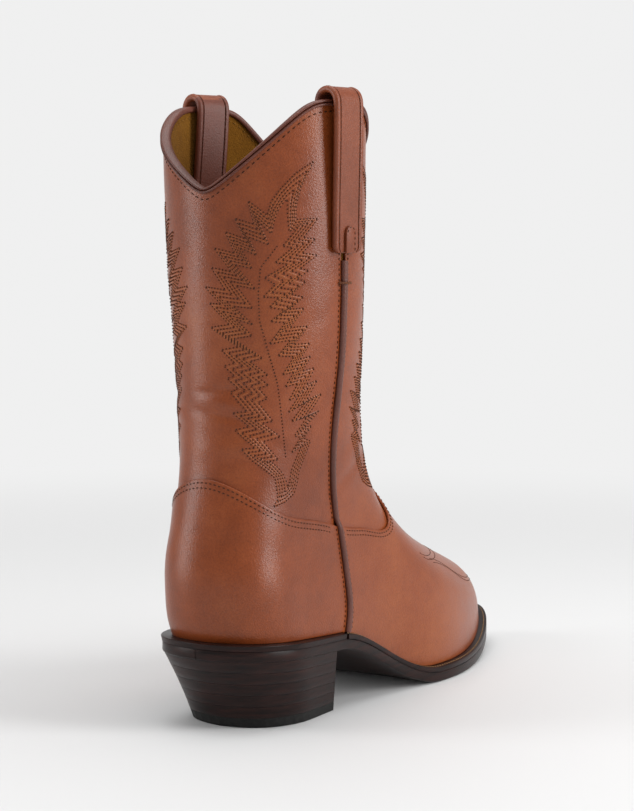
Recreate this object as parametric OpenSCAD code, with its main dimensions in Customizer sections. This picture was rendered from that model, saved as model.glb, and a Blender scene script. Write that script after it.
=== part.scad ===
// Left cowboy boot with a stacked leather heel, piped side seams, a scalloped collar and two pull straps.
// Frame: +X runs to the toe, +Y to the outer side of the foot, +Z up.
// Origin: on the ground, under the middle of the heel.

/* [Foot] */
// Length of the upper where it meets the welt, heel to toe
foot_len = 284; // [270:1:300]
// Half-width at the ball on the inner side of the foot
ball_inner = 44; // [40:1:48]
// Half-width at the ball on the outer side of the foot
ball_outer = 42; // [39:1:46]
// Shift of the toe tip towards the inner side
toe_shift = 5; // [0:1:10]
// Height of the top of the welt at the back of the heel
seat_h = 46; // [42:1:52]
// How far the welt drops from the back of the heel to the heel's breast
seat_drop = 4.5; // [3:0.5:7]
// Height that the toe tip lifts off the ground
toe_spring = 11; // [6:1:16]

/* [Shaft] */
// Height of the collar's side peaks above the heel seat
shaft_h = 268; // [250:2:320]
// Depth of the collar's dips at the front and the back
collar_dip = 44; // [24:1:56]
// Half-width of the shaft at the collar
collar_half = 51; // [48:1:56]

/* [Sole and heel] */
// Thickness of the welt
welt_t = 3; // [2.5:0.5:4]
// Thickness of the outsole
sole_t = 5.5; // [4.5:0.5:7]
// How far the welt stands out past the upper at the forefoot
welt_out = 6.5; // [5:0.5:8]
// How far the sole stands out past the upper round the heel
seat_out = 7.5; // [5:0.5:8.5]
// Length of the heel's ground face
heel_ground = 60; // [52:1:68]
// Width of the heel at the ground, as a share of its width at the seat
heel_taper = 0.84; // [0.75:0.01:0.95]

/* [Pull straps] */
// Width of a pull strap
strap_w = 21; // [18:1:26]
// Thickness of a pull strap
strap_t = 3.4; // [3:0.2:3.8]
// Length of a strap's legs below the collar
strap_leg = 75; // [60:1:90]
// Half-width of the strap's arch over the collar, to the middle of the strap
arch_r = 6.2; // [5.9:0.1:7]

/* [Hidden] */

leather_t = 1.5;
lining_t = 1;
gap = 0.25;            // clearance between glued or sewn layers
seam_half = 1.8;       // from a side seam's middle to the edge of the leather beside it
piping_r = 1.5;
piping_lift = 0.5;     // height of the piping's middle above the leather's face
nail_r = 1.25;
lifts = 5;             // one for each lift node
heel_x = -46;          // back of the upper, where it meets the welt
toe_x = heel_x + foot_len;
breast_x = 24;         // front of the heel
ball_from = heel_x + 0.58 * foot_len;
ball_to = heel_x + 0.66 * foot_len;
ball_h = welt_t + sole_t;
collar_z = seat_h + shaft_h - collar_dip / 2;
inner_seam = 0.25;     // the side seams' places round the boot
outer_seam = 0.75;
foot_ease = 0.014;     // how far the plan's bends are eased, as a share of the way round

// Colours of the leathers and trims.
tan_leather = [0.6, 0.32, 0.19];
trim_leather = [0.42, 0.24, 0.19];
suede = [0.42, 0.31, 0.12];
sole_leather = [0.14, 0.09, 0.08];
board = [0.72, 0.6, 0.44];

// The upper meets the welt along this closed curve: back of the heel, inner side, toe, outer side.
plan = [
    [heel_x, 0], [-39, -20.5], [-21, -31], [3, -33.5], [34, -35], [84, -37],
    [heel_x + 0.64 * foot_len, -ball_inner], [heel_x + 0.835 * foot_len, -ball_inner + 12],
    [toe_x, -toe_shift], [heel_x + 0.87 * foot_len, 21],
    [heel_x + 0.7 * foot_len, ball_outer], [96, 38], [36, 31], [3, 31], [-21, 30], [-39, 20.5]
];

// Guide levels of the upper, from welt to collar. Each one holds back x, back z, front x, front z,
// inner half-width, outer half-width, share of foot plan, share of collar wave.
shaft_step = (collar_z - seat_h - 112) / 4;
levels = [
    [heel_x, seat_h, toe_x, ball_h + toe_spring, ball_inner, ball_outer, 1, 0],
    [-52, seat_h + 14, toe_x - 2, 35, ball_inner + 1.5, ball_outer + 2, 1, 0],
    [-53, seat_h + 34, toe_x - 21, 51, ball_inner, ball_outer + 1, 1, 0],
    [-48, seat_h + 58, toe_x - 70, 66, ball_inner - 2, ball_outer - 1, 0.85, 0],
    [-42, seat_h + 84, toe_x - 121, 88, ball_inner - 4, ball_outer - 3, 0.6, 0],
    [-40, seat_h + 112, 80, 122, 42, 40, 0.3, 0],
    [-40, seat_h + 112 + shaft_step, 68, seat_h + 87 + shaft_step, 48, 43, 0.1, 0],
    [-41, seat_h + 112 + 2 * shaft_step, 64.5, seat_h + 108 + 2 * shaft_step,
        collar_half, collar_half - 4, 0, 0.35],
    [-42, seat_h + 112 + 3 * shaft_step, 63.5, seat_h + 112 + 3 * shaft_step,
        collar_half + 1.5, collar_half - 2.5, 0, 0.8],
    [-43, collar_z, 64, collar_z, collar_half + 2, collar_half - 2, 0, 1]
];
top = len(levels) - 1;

function blend(a, b, t) = a + (b - a) * t;
function clamp01(t) = min(1, max(0, t));
function smooth(t) = t * t * (3 - 2 * t);
function unit(v) = v / norm(v);
function steps(a, b, n) = [for (i = [0 : n]) blend(a, b, i / n)];

// Height of the welt's top along the foot: heel seat, shank, flat ball and toe spring.
function feather_z(x) =
    x < breast_x ? seat_h - seat_drop * (x - heel_x) / (breast_x - heel_x)
    : x < ball_from ? blend(seat_h - seat_drop, ball_h, smooth((x - breast_x) / (ball_from - breast_x)))
    : x < ball_to ? ball_h
    : ball_h + toe_spring * pow((x - ball_to) / (toe_x - ball_to), 2);

// Closed smooth curve through the plan's points, u from 0 to 1.
function plan_at(u) =
    let (n = len(plan), f = (u - floor(u)) * n, i = floor(f), t = f - i,
         a = plan[(i + n - 1) % n], b = plan[i % n], c = plan[(i + 1) % n], d = plan[(i + 2) % n])
    0.5 * (2 * b + (c - a) * t + (2 * a - 5 * b + 4 * c - d) * t * t + (3 * b - a - 3 * c + d) * t * t * t);

// The plan curve with its tightest bends eased, more so for a larger reach.
function eased_plan(u, reach) = (plan_at(u - reach) + 2 * plan_at(u) + plan_at(u + reach)) / 4;

// The welt line moved outwards by a distance.
function plan_out(u, d) =
    let (e = 0.004, g = unit(eased_plan(u + e, foot_ease) - eased_plan(u - e, foot_ease)))
    eased_plan(u, foot_ease) + d * [g.y, -g.x];

// Collar scallop: -1 at the front and back dips, +1 along the side peaks, straight between, corners rounded.
function wave(u) =
    let (d = abs(2 * u - round(2 * u)) / 2, a = (sqrt(d * d + 0.00022) - 0.015) / 0.176)
    a - sqrt((a - 1) * (a - 1) + 0.02);

// Turn of the shaft on the foot at guide level k, as a share of the way round. The side seams follow it.
function shaft_turn(k, u) =
    let (s = sin(360 * u), rise = smooth(clamp01((k - 5) / 4)),
        side = s > 0 ? 0.014 * sin(180 * min(k, 5.3) / 5.3) - 0.028 * rise : -0.05 * rise)
    side * s * s;

// A point of guide level k at u.
function level_at(k, u) =
    let (v = levels[k], w = u + shaft_turn(k, u), p = eased_plan(w, foot_ease * (1 + min(k, 3) / 2)),
        s_foot = (p.x - heel_x) / foot_len, s_oval = (1 - cos(360 * w)) / 2,
        y_foot = p.y < 0 ? p.y / ball_inner * v[4] : p.y / ball_outer * v[5],
        y_oval = -sin(360 * w) * (w < 0.5 ? v[4] : v[5]),
        s = blend(s_oval, s_foot, v[6]), y = blend(y_oval, y_foot, v[6]),
        x = blend(v[0], v[2], s), straight = blend(v[1], v[3], s),
        sag = feather_z(heel_x + foot_len * s) - blend(seat_h, ball_h + toe_spring, s))
    [x, y, k == 0 ? feather_z(x)
        : straight + sag * v[6] * max(0, 1 - k / 5) + v[7] * collar_dip / 2 * wave(u)];

function control(k, u) = k < 0 ? 2 * level_at(0, u) - level_at(1, u)
    : k > top ? 2 * level_at(top, u) - level_at(top - 1, u) : level_at(k, u);

// The upper's surface: u runs round the boot from the back, v from welt (0) to collar (1).
function skin(u, v) =
    let (f = clamp01(v) * top, i = min(floor(f), top - 1), t = f - i, w = u - floor(u))
    ((1 - t) * (1 - t) * (1 - t) * control(i - 1, w) + (3 * t * t * t - 6 * t * t + 4) * control(i, w)
        + (1 + 3 * t + 3 * t * t - 3 * t * t * t) * control(i + 1, w) + t * t * t * control(i + 2, w)) / 6;

// Outward direction of the skin, the direction round the boot, and the direction up the boot, at a point.
function along(u, v) = unit(skin(u + 0.002, v) - skin(u - 0.002, v));
function outward(u, v) = unit(cross(along(u, v), skin(u, min(1, v + 0.01)) - skin(u, max(0, v - 0.01))));
function lifted(u, v, h) = skin(u, v) + h * outward(u, v);

// Side seam tables: [height on the skin, mm of skin for each unit of u, height above ground].
function seam_table(u0) = [for (i = [0 : 30]) let (v = i / 30)
    [v, norm(skin(u0 + 0.002, v) - skin(u0 - 0.002, v)) / 0.004, skin(u0, v).z]];
inner_table = seam_table(inner_seam);
outer_table = seam_table(outer_seam);
function table_of(u0) = u0 == inner_seam ? inner_table : outer_table;
inner_speed = [for (r = inner_table) [r[0], 1 / r[1]]];
outer_speed = [for (r = outer_table) [r[0], 1 / r[1]]];
function v_at_height(u0, z) = lookup(z, [for (r = table_of(u0)) [r[2], r[0]]]);

// Top edges of the counter and the vamp, as heights on the skin, for u round the boot.
function from_back(u) = abs(u - round(u));
function counter_top(u) = 0.37 + 0.062 * (1 - smooth(clamp01(from_back(u) / 0.17)));
function vamp_top(u) = 0.376 + 0.022 * smooth(clamp01((from_back(u) - 0.25) / 0.06))
    + 0.15 * smooth(clamp01((from_back(u) - 0.325) / 0.175));
bury = 0.03;           // how far the shaft reaches down under the counter and vamp

// Grid of skin points between two side seams, clear of the seams by a margin in mm.
function panel(from_u, to_u, n, m, low, high, margin) =
    [for (k = [0 : n]) let (u = blend(from_u, to_u, k / n)) [for (j = [0 : m])
        let (v = blend(low(u), high(u), j / m),
             a = from_u + margin * lookup(v, from_u == inner_seam ? inner_speed : outer_speed),
             b = to_u - margin * lookup(v, to_u == inner_seam ? inner_speed : outer_speed))
        skin(blend(a, b, k / n), v)]];

// Outward normal at every point of a grid. The lowest row is level when it stands on the welt.
function grid_normals(g, on_welt) =
    let (n = len(g) - 1, m = len(g[0]) - 1)
    [for (i = [0 : n]) [for (j = [0 : m])
        let (du = g[min(i + 1, n)][j] - g[max(i - 1, 0)][j], dv = g[i][min(j + 1, m)] - g[i][max(j - 1, 0)],
             c = cross(du, dv))
        unit(on_welt && j == 0 ? [c.x, c.y, 0] : c)]];

// Closed shell between two offsets of a grid of skin points.
module shell(g, inner, outer, on_welt = false) {
    n = len(g) - 1;
    m = len(g[0]) - 1;
    normals = grid_normals(g, on_welt);
    row = m + 1;
    back = (n + 1) * row;
    points = [for (h = [outer, inner]) for (i = [0 : n]) for (j = [0 : m]) g[i][j] + normals[i][j] * h];
    faces = concat(
        [for (i = [0 : n - 1]) for (j = [0 : m - 1])
            let (a = i * row + j) [a, a + 1, a + row + 1, a + row]],
        [for (i = [0 : n - 1]) for (j = [0 : m - 1])
            let (a = back + i * row + j) [a, a + row, a + row + 1, a + 1]],
        [for (i = [0 : n - 1]) let (a = i * row) [a, a + row, back + a + row, back + a]],
        [for (i = [0 : n - 1]) let (a = i * row + m) [a + row, a, back + a, back + a + row]],
        [for (j = [0 : m - 1]) [j + 1, j, back + j, back + j + 1]],
        [for (j = [0 : m - 1]) let (a = n * row + j) [a, a + 1, back + a + 1, back + a]]);
    polyhedron(points = points, faces = halves(faces), convexity = 6);
}

// Four-cornered faces split into triangles.
function halves(quads) = [for (q = quads) for (k = [1, 2]) [q[0], q[k], q[k + 1]]];

// Solid through a row of rings. Each ring turns anticlockwise seen looking along the row.
module sweep(rings, closed = false) {
    n = len(rings);
    k = len(rings[0]);
    last = closed ? n - 1 : n - 2;
    walls = [for (i = [0 : last]) for (j = [0 : k - 1])
        let (next = (j + 1) % k, a = i * k + j, b = i * k + next, c = (i + 1) % n * k + j,
             d = (i + 1) % n * k + next)
        [a, b, d, c]];
    ends = closed ? [] : [
        [for (j = [0 : k - 1]) k - 1 - j],
        [for (j = [0 : k - 1]) (n - 1) * k + j]];
    polyhedron(points = [for (r = rings) each r], faces = concat(halves(walls), ends), convexity = 8);
}

// Round cord along a path.
module cord(path, r, sides = 6) {
    n = len(path) - 1;
    sweep([for (i = [0 : n])
        let (dir = unit(path[min(i + 1, n)] - path[max(i - 1, 0)]),
             a = unit(cross(dir, abs(dir.z) > 0.7 ? [0, 1, 0] : [0, 0, 1])), b = cross(a, dir))
        [for (k = [0 : sides - 1]) path[i] + r * (a * cos(360 * k / sides) + b * sin(360 * k / sides))]]);
}

// ---- Upper ----

module vamp() color(tan_leather)
    shell(panel(0.25, 0.75, 46, 11, function (u) 0, function (u) vamp_top(u), seam_half),
        gap, gap + leather_t, true);

module heel_counter() color(tan_leather)
    shell(panel(-0.25, 0.25, 32, 9, function (u) 0, function (u) counter_top(u), seam_half),
        gap, gap + leather_t, true);

module shaft_front() color(tan_leather)
    shell(panel(0.25, 0.75, 34, 13, function (u) vamp_top(u) - bury, function (u) 1, seam_half),
        -leather_t, 0);

module shaft_back() color(tan_leather)
    shell(panel(-0.25, 0.25, 34, 13, function (u) counter_top(u) - bury, function (u) 1, seam_half),
        -leather_t, 0);

// Cord that covers a side seam, from the strap's foot to the welt. It steps out over the counter and vamp.
module piping(seam) color(trim_leather) {
    high = v_at_height(seam, collar_z + collar_dip / 2 - strap_leg - 4);
    cord([for (v = steps(high, 0.012, 34))
        lifted(seam, v, piping_lift + (gap + leather_t) * (1 - smooth(clamp01((v - 0.36) / 0.04))))],
        piping_r);
}
module piping_inner() piping(inner_seam);
module piping_outer() piping(outer_seam);

// Folded strip over the collar's edge, both faces.
binding_h = 1.8;
binding_t = 1.2;
binding_round = 1.4;
module collar_binding() color(trim_leather) {
    face = gap + binding_t;
    back = -leather_t - lining_t - 2 * gap;
    section = [[face, -binding_h], [face, 0.4], [0, binding_round], [back, binding_round],
        [back - binding_t, 0.4], [back - binding_t, -binding_h], [back, -binding_h], [back, gap], [gap, gap],
        [gap, -binding_h]];
    sweep([for (k = [0 : 95])
        let (u = k / 96, n = outward(u, 1), e = along(u, 1), t = cross(n, e))
        [for (p = section) skin(u, 1) + p.x * n + p.y * t]], closed = true);
}

// ---- Pull straps ----

// Height of the strap's middle above the leather, at a distance below the collar.
arch_mid = -(leather_t + lining_t + 2 * gap) / 2;
strap_foot = strap_t / 2 + gap;
function strap_side(seam, d, side) =
    let (v = v_at_height(seam, collar_z + collar_dip / 2 - d), sewn = smooth(clamp01(d / strap_leg)),
         out = side > 0 ? blend(arch_mid + arch_r, strap_foot, sewn)
             : blend(arch_mid - arch_r, -leather_t - lining_t - 2 * gap - strap_foot, sewn))
    lifted(seam, v, out);
function strap_path(seam) =
    let (n = outward(seam, 1), base = skin(seam, 1) + arch_mid * n)
    concat(
        [for (d = steps(strap_leg, 4, 8)) strap_side(seam, d, 1)],
        [for (a = steps(0, 180, 9)) base + arch_r * (n * cos(a) + [0, 0, sin(a)])],
        [for (d = steps(4, strap_leg, 8)) strap_side(seam, d, -1)]);

// Band with soft edges that arches over the collar, one leg outside and one inside.
module strap(seam) color(trim_leather) {
    path = strap_path(seam);
    n = len(path) - 1;
    e = along(seam, 1);
    w = strap_w / 2;
    t = strap_t / 2;
    section = [[w, -t / 2], [w, t / 2], [w - t / 2, t], [t / 2 - w, t], [-w, t / 2], [-w, -t / 2],
        [t / 2 - w, -t], [w - t / 2, -t]];
    sweep([for (i = [0 : n])
        let (dir = unit(path[min(i + 1, n)] - path[max(i - 1, 0)]), q = unit(cross(e, dir)))
        [for (p = section) path[i] + p.x * e + p.y * q]]);
}
module strap_inner() strap(inner_seam);
module strap_outer() strap(outer_seam);

// Small round-topped tab sewn over the strap's foot where the piping starts.
tab_w = 7;
tab_h = 13.5;
tab_t = 1.2;
module tab(seam) color(trim_leather) {
    e = along(seam, 1);
    low = strap_side(seam, strap_leg, 1);
    high = strap_side(seam, strap_leg - tab_h, 1);
    up = unit(high - low);
    n = unit(cross(e, up));
    outline = concat([[-tab_w / 2, 0], [tab_w / 2, 0]],
        [for (a = [0 : 30 : 180]) [tab_w / 2 * cos(a), tab_h - tab_w / 2 + tab_w / 2 * sin(a)]]);
    sweep([for (h = [tab_t, 0])
        [for (p = outline) low + p.x * e + p.y * up + (strap_t / 2 + gap + h) * n]]);
}
module tab_inner() tab(inner_seam);
module tab_outer() tab(outer_seam);

// Row of thread over the piping below the strap.
tack_w = 8;
module bar_tack(seam) color(trim_leather) {
    v = v_at_height(seam, collar_z + collar_dip / 2 - strap_leg - 15);
    base = skin(seam, v);
    n = outward(seam, v);
    e = along(seam, v);
    cord([for (a = [0 : 20 : 180])
        base + tack_w / 2 * cos(a) * e + (0.9 + (piping_lift + piping_r) * sin(a)) * n], 0.6);
}
module bar_tack_inner() bar_tack(inner_seam);
module bar_tack_outer() bar_tack(outer_seam);

// ---- Inside ----

lining_face = -leather_t - gap;
module lining_front() color(suede)
    shell(panel(0.25, 0.75, 22, 10, function (u) 0.41, function (u) 1, 0.3),
        lining_face - lining_t, lining_face);

module lining_back() color(suede)
    shell(panel(-0.25, 0.25, 22, 15, function (u) 0.01, function (u) 1, 0.3),
        lining_face - lining_t, lining_face);

module vamp_lining() color(suede)
    shell(panel(0.25, 0.75, 30, 7, function (u) 0.01, function (u) 0.4, 0.3),
        lining_face - lining_t, lining_face);

// Stiff leather cup round the heel, between the counter and the lining.
module counter_stiffener() color(board)
    shell([for (u = steps(-0.21, 0.21, 22)) [for (v = steps(0.01, counter_top(u) - 0.04, 5)) skin(u, v)]],
        -leather_t, 0);

// Stiff cap in the toe, between the vamp and its lining.
module toe_puff() color(board)
    shell([for (u = steps(0.41, 0.59, 22))
        [for (v = steps(0.01, 0.05 + 0.16 * sin(180 * (u - 0.38) / 0.24), 4)) skin(u, v)]], -leather_t, 0);

// ---- Sole ----

// Level slab under the foot, between two heights from the welt's top, its edge set out from the plan.
module slab(from_u, to_u, n, out, low, high) {
    sweep([for (u = steps(from_u, to_u, n))
        let (a = plan_out(u, out(plan_at(u).x)), b = plan_out(1 - u, out(plan_at(1 - u).x)))
        [[a.x, a.y, feather_z(a.x) + low], [a.x, a.y, feather_z(a.x) + high],
         [b.x, b.y, feather_z(b.x) + high], [b.x, b.y, feather_z(b.x) + low]]]);
}
waist_out = 5;
seat_step = 0.7;       // how much further in the outsole and the lifts are trimmed than the layer above
function edge_out(x) = blend(blend(seat_out, waist_out, smooth(clamp01((x + 20) / 50))), welt_out,
    smooth(clamp01((x - 50) / 70)));
function under_out(x) = edge_out(x) - seat_step * (1 - smooth(clamp01((x - 24) / 60)));

insole_t = 2.5;
insole_inset = -leather_t - lining_t - 2 * gap - 0.8;
module insole_board() color(board)
    slab(0.006, 0.494, 30, function (x) insole_inset, gap, gap + insole_t);

module heel_pad() color(suede)
    slab(0.01, 0.255, 16, function (x) insole_inset - 1, insole_t + 2 * gap, insole_t + 2 * gap + 1.2);

// Strip that the upper is sewn to, from the heel's breast round the toe.
band_in = 9;
module band(from_u, to_u, n, out, low, high) {
    sweep([for (u = steps(from_u, to_u, n))
        let (a = plan_out(u, out(plan_at(u).x)), b = plan_out(u, -band_in))
        [[a.x, a.y, feather_z(a.x) + low], [a.x, a.y, feather_z(a.x) + high],
         [b.x, b.y, feather_z(b.x) + high], [b.x, b.y, feather_z(b.x) + low]]]);
}
welt_high = -0.1;
welt_low = welt_high - welt_t + 0.1;
module welt() color(sole_leather)
    band(0.245, 0.755, 56, function (x) edge_out(x), welt_low, welt_high);

module heel_rand() color(sole_leather)
    band(-0.242, 0.242, 32, function (x) edge_out(x), welt_low, welt_high);

module cork_filler() color([0.55, 0.4, 0.25])
    slab(0.335, 0.486, 14, function (x) -band_in - 0.6, welt_low, welt_high);

// Steel strip that stiffens the waist.
shank_w = 16;
module shank() color([0.6, 0.6, 0.62])
    sweep([for (x = steps(-14, 72, 12))
        [[x, -shank_w / 2, feather_z(x) + welt_low + 0.4], [x, -shank_w / 2, feather_z(x) + welt_high - 0.6],
         [x, shank_w / 2, feather_z(x) + welt_high - 0.6], [x, shank_w / 2, feather_z(x) + welt_low + 0.4]]]);

module outsole() color(sole_leather)
    slab(0.006, 0.494, 44, function (x) under_out(x), -ball_h, welt_low - 0.1);

// ---- Heel ----

// Part of the way round the boot that the heel follows, and its back at the seat.
heel_u = 0.228;
heel_back = plan_out(0, seat_out - 2 * seat_step).x;
top_lift_share = 0.14;

// Outline of the heel at a share of its height, ground 0 to seat 1.
function heel_ring(f) =
    let (c = f * (0.8 + 0.2 * f),
         arc = [for (u = steps(-heel_u, heel_u, 26)) plan_out(u, edge_out(plan_at(u).x) - 2 * seat_step)],
         breast = [for (k = [1 : 5])
              let (p = blend(arc[26], arc[0], k / 6)) [p.x - 2.5 * sin(180 * k / 6), p.y]])
    [for (p = concat(arc, breast))
        let (share = (p.x - heel_back) / (breast_x - heel_back),
             x = blend((share - 0.5) * heel_ground, p.x, c))
        [x, p.y * blend(heel_taper, 1, c), f * (feather_z(p.x) - ball_h)]];

glue_line = 0.05;       // between two lifts
module heel_layer(low, high) {
    sweep([for (f = steps(high, low, 2)) [for (p = heel_ring(f)) p - [0, 0, f > 0 ? glue_line : 0]]]);
}
module lift(k) color(sole_leather) {
    step = (1 - top_lift_share) / lifts;
    heel_layer(1 - k * step + 0.003, 1 - (k - 1) * step);
}
module lift_1() lift(1);
module lift_2() lift(2);
module lift_3() lift(3);
module lift_4() lift(4);
module lift_5() lift(5);

nail_spots = [[-20, 0], [-13, 15], [-13, -15], [10, 19], [10, -19], [22, 12], [22, -12]];
nail_h = 3;
module nails(r, h) {
    for (p = nail_spots) {
        translate([p.x, p.y, 0]) cylinder(r = r, h = h, $fn = 24);
    }
}
module top_lift() color(sole_leather)
    difference() {
        heel_layer(0, top_lift_share);
        translate([0, 0, -1]) nails(nail_r + 0.1, nail_h + 1.2);
    }
module heel_nails() color([0.7, 0.6, 0.35])
    translate([0, 0, 0.1]) nails(nail_r, nail_h);

vamp();
heel_counter();
shaft_front();
shaft_back();
piping_inner();
piping_outer();
collar_binding();
strap_inner();
strap_outer();
tab_inner();
tab_outer();
bar_tack_inner();
bar_tack_outer();
lining_front();
lining_back();
vamp_lining();
counter_stiffener();
toe_puff();
insole_board();
heel_pad();
shank();
cork_filler();
welt();
heel_rand();
outsole();
lift_1();
lift_2();
lift_3();
lift_4();
lift_5();
top_lift();
heel_nails();
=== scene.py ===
import math

import bpy
import numpy as np
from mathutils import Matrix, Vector


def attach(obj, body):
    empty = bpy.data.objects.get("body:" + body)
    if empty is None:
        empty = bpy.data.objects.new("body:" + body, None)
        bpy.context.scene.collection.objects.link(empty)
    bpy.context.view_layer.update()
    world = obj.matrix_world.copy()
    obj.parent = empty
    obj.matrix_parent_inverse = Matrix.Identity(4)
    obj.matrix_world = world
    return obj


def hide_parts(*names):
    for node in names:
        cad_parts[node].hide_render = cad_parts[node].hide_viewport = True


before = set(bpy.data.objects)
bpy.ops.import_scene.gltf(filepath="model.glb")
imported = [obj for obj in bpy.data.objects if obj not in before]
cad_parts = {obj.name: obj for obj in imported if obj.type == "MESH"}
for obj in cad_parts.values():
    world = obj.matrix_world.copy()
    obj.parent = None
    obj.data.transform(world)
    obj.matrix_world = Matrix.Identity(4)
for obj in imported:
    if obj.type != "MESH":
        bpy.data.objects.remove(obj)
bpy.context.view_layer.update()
bpy.ops.object.select_all(action="DESELECT")

# ---- The studio ----
# The boot stands on a pale floor that runs into a pale backdrop. Two tall soft lamps stand either side,
# a third hangs above, and the room behind the camera is darker.
bpy.ops.object.camera_add(location=(-0.9006, -0.576, 0.257))
camera = bpy.context.object
heading, tilt = math.radians(30.81), math.radians(5.16)
look = Vector((math.cos(heading), math.sin(heading), -math.tan(tilt)))
camera.rotation_euler = look.to_track_quat("-Z", "Y").to_euler()
camera.data.lens = 93.0
camera.data.sensor_width = 36.0
camera.data.clip_start = 0.05
bpy.context.scene.camera = camera
bpy.context.scene.view_settings.view_transform = "Standard"


def softbox(place, aim, wide, tall, watts, tint=(1, 1, 1)):
    bpy.ops.object.light_add(type="AREA", location=place)
    lamp = bpy.context.object
    lamp.data.shape = "RECTANGLE"
    lamp.data.size = wide
    lamp.data.size_y = tall
    lamp.data.energy = watts
    lamp.data.color = tint
    lamp.rotation_euler = (Vector(aim) - Vector(place)).to_track_quat("-Z", "Y").to_euler()


softbox((-0.85, 1.1, 0.5), (0, 0, 0.17), 0.5, 1.2, 10)
softbox((0.35, -1.3, 0.65), (0, 0, 0.2), 0.5, 1.2, 17)
softbox((0.1, 0.0, 1.7), (0, 0, 0), 1.6, 1.6, 20)

bpy.ops.mesh.primitive_plane_add(size=14, location=(0, 0, -0.0002))
floor = bpy.context.object
floor.name = "floor"
bpy.ops.object.mode_set(mode="EDIT")
bpy.ops.mesh.subdivide(number_cuts=6)
bpy.ops.object.mode_set(mode="OBJECT")
paper = bpy.data.materials.new("pale paper")
paper.use_nodes = True
nodes, links = paper.node_tree.nodes, paper.node_tree.links
nodes["Principled BSDF"].inputs["Base Color"].default_value = (0.69, 0.69, 0.69, 1)
nodes["Principled BSDF"].inputs["Roughness"].default_value = 0.9
glow = nodes.new("ShaderNodeEmission")
glow.inputs["Color"].default_value = (0.87, 0.87, 0.87, 1)
away = nodes.new("ShaderNodeVectorMath")
away.operation = "LENGTH"
links.new(nodes.new("ShaderNodeTexCoord").outputs["Object"], away.inputs[0])
fade = nodes.new("ShaderNodeMapRange")
fade.interpolation_type = "SMOOTHSTEP"
fade.inputs["From Min"].default_value = 0.35
fade.inputs["From Max"].default_value = 1.1
links.new(away.outputs["Value"], fade.inputs["Value"])
sweep = nodes.new("ShaderNodeMixShader")
links.new(fade.outputs[0], sweep.inputs[0])
links.new(nodes["Principled BSDF"].outputs[0], sweep.inputs[1])
links.new(glow.outputs[0], sweep.inputs[2])
links.new(sweep.outputs[0], nodes["Material Output"].inputs[0])
floor.data.materials.append(paper)
world = bpy.data.worlds.new("room")
bpy.context.scene.world = world
world.use_nodes = True
nodes, links = world.node_tree.nodes, world.node_tree.links
facing = nodes.new("ShaderNodeVectorMath")
facing.operation = "DOT_PRODUCT"
facing.inputs[1].default_value = look.normalized()
links.new(nodes.new("ShaderNodeTexCoord").outputs["Generated"], facing.inputs[0])
walls = nodes.new("ShaderNodeMapRange")
walls.interpolation_type = "SMOOTHSTEP"
walls.inputs["From Min"].default_value = 0.8
walls.inputs["From Max"].default_value = 0.96
walls.inputs["To Min"].default_value = 0.38
walls.inputs["To Max"].default_value = 0.87
links.new(facing.outputs["Value"], walls.inputs["Value"])
links.new(walls.outputs[0], nodes["Background"].inputs["Color"])
nodes["Background"].inputs["Strength"].default_value = 1.0

# ---- The last ----
# The wooden form that the leather is pulled over. Its sides are guide levels from the welt up to the
# collar, joined by a smooth skin: u goes round the boot from the back, v up the boot. All in millimetres.
HEEL_X = -46
FOOT_LEN = 284
TOE_X = HEEL_X + FOOT_LEN
BREAST_X = 24
INNER, OUTER = 44, 42
SEAT_H, SEAT_DROP = 46, 4.5
WELT_T, SOLE_T = 3, 5.5
BALL_H = WELT_T + SOLE_T
BALL_FROM, BALL_TO = HEEL_X + 0.58 * FOOT_LEN, HEEL_X + 0.66 * FOOT_LEN
TOE_SPRING = 11
COLLAR_DIP = 44
COLLAR_Z = SEAT_H + 268 - COLLAR_DIP / 2
COLLAR_HALF = 51
STEP = (COLLAR_Z - SEAT_H - 112) / 4
EASE = 0.014
PLAN = np.array([
    (HEEL_X, 0), (-39, -20.5), (-21, -31), (3, -33.5), (34, -35), (84, -37),
    (HEEL_X + 0.64 * FOOT_LEN, -INNER), (HEEL_X + 0.835 * FOOT_LEN, 12 - INNER), (TOE_X, -5),
    (HEEL_X + 0.87 * FOOT_LEN, 21), (HEEL_X + 0.7 * FOOT_LEN, OUTER), (96, 38), (36, 31), (3, 31),
    (-21, 30), (-39, 20.5)], float)
LEVELS = [
    (HEEL_X, SEAT_H, TOE_X, BALL_H + TOE_SPRING, INNER, OUTER, 1, 0),
    (-52, SEAT_H + 14, TOE_X - 2, 35, INNER + 1.5, OUTER + 2, 1, 0),
    (-53, SEAT_H + 34, TOE_X - 21, 51, INNER, OUTER + 1, 1, 0),
    (-48, SEAT_H + 58, TOE_X - 70, 66, INNER - 2, OUTER - 1, 0.85, 0),
    (-42, SEAT_H + 84, TOE_X - 121, 88, INNER - 4, OUTER - 3, 0.6, 0),
    (-40, SEAT_H + 112, 80, 122, 42, 40, 0.3, 0),
    (-40, SEAT_H + 112 + STEP, 68, SEAT_H + 87 + STEP, 48, 43, 0.1, 0),
    (-41, SEAT_H + 112 + 2 * STEP, 64.5, SEAT_H + 108 + 2 * STEP, COLLAR_HALF, COLLAR_HALF - 4, 0, 0.35),
    (-42, SEAT_H + 112 + 3 * STEP, 63.5, SEAT_H + 112 + 3 * STEP,
     COLLAR_HALF + 1.5, COLLAR_HALF - 2.5, 0, 0.8),
    (-43, COLLAR_Z, 64, COLLAR_Z, COLLAR_HALF + 2, COLLAR_HALF - 2, 0, 1)]
TOP = len(LEVELS) - 1


def blend(a, b, t):
    return a + (b - a) * t


def smooth(t):
    t = np.clip(t, 0, 1)
    return t * t * (3 - 2 * t)


def unit(v):
    return v / np.maximum(np.linalg.norm(v, axis=-1, keepdims=True), 1e-12)


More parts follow.
